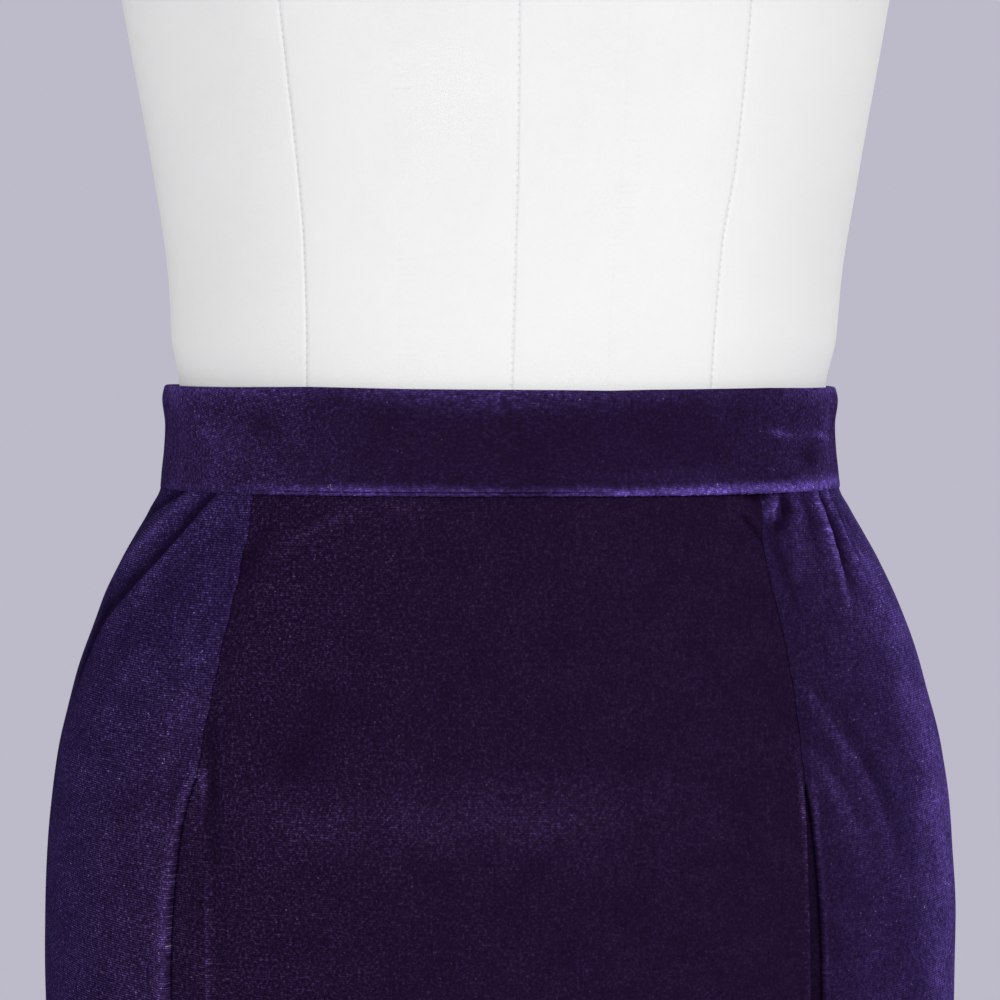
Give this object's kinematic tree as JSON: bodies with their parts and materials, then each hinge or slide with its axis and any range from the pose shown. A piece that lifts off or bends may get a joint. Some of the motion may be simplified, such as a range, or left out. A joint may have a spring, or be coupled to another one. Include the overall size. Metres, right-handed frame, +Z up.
{
  "type": "velvet pencil skirt on a dress form",
  "caption": "Pencil skirt in stretch velvet with a plain elastic waistband, panelled front and in-seam pockets, on a plain limbless dress form with a pole and a round base.",
  "frame": {"origin": "centre of the base's underside, on the floor", "axes": "+Z up, the front of the skirt faces -Y, +X is to the right of someone who looks at the front"},
  "size_m": [0.349, 0.34, 1.5743],
  "materials": {
    "velvet": "dark purple stretch velvet with a fine cross rib, a mottled nap and a violet sheen at its folds and sides",
    "cover_cloth": "white matt cover cloth with fine stitched seams",
    "painted_stand": "satin off-white paint",
    "steel_pole": "satin brushed steel"
  },
  "bodies": {
    "root": {"waistband": "velvet", "front_panel": "velvet", "side_front_left": "velvet", "side_front_right": "velvet", "back_panel": "velvet", "pocket_facing_left": "velvet", "pocket_facing_right": "velvet", "form_body": "cover_cloth", "form_neck_cap": "painted_stand", "form_pole": "steel_pole", "form_base": "painted_stand"}
  },
  "joints": []
}
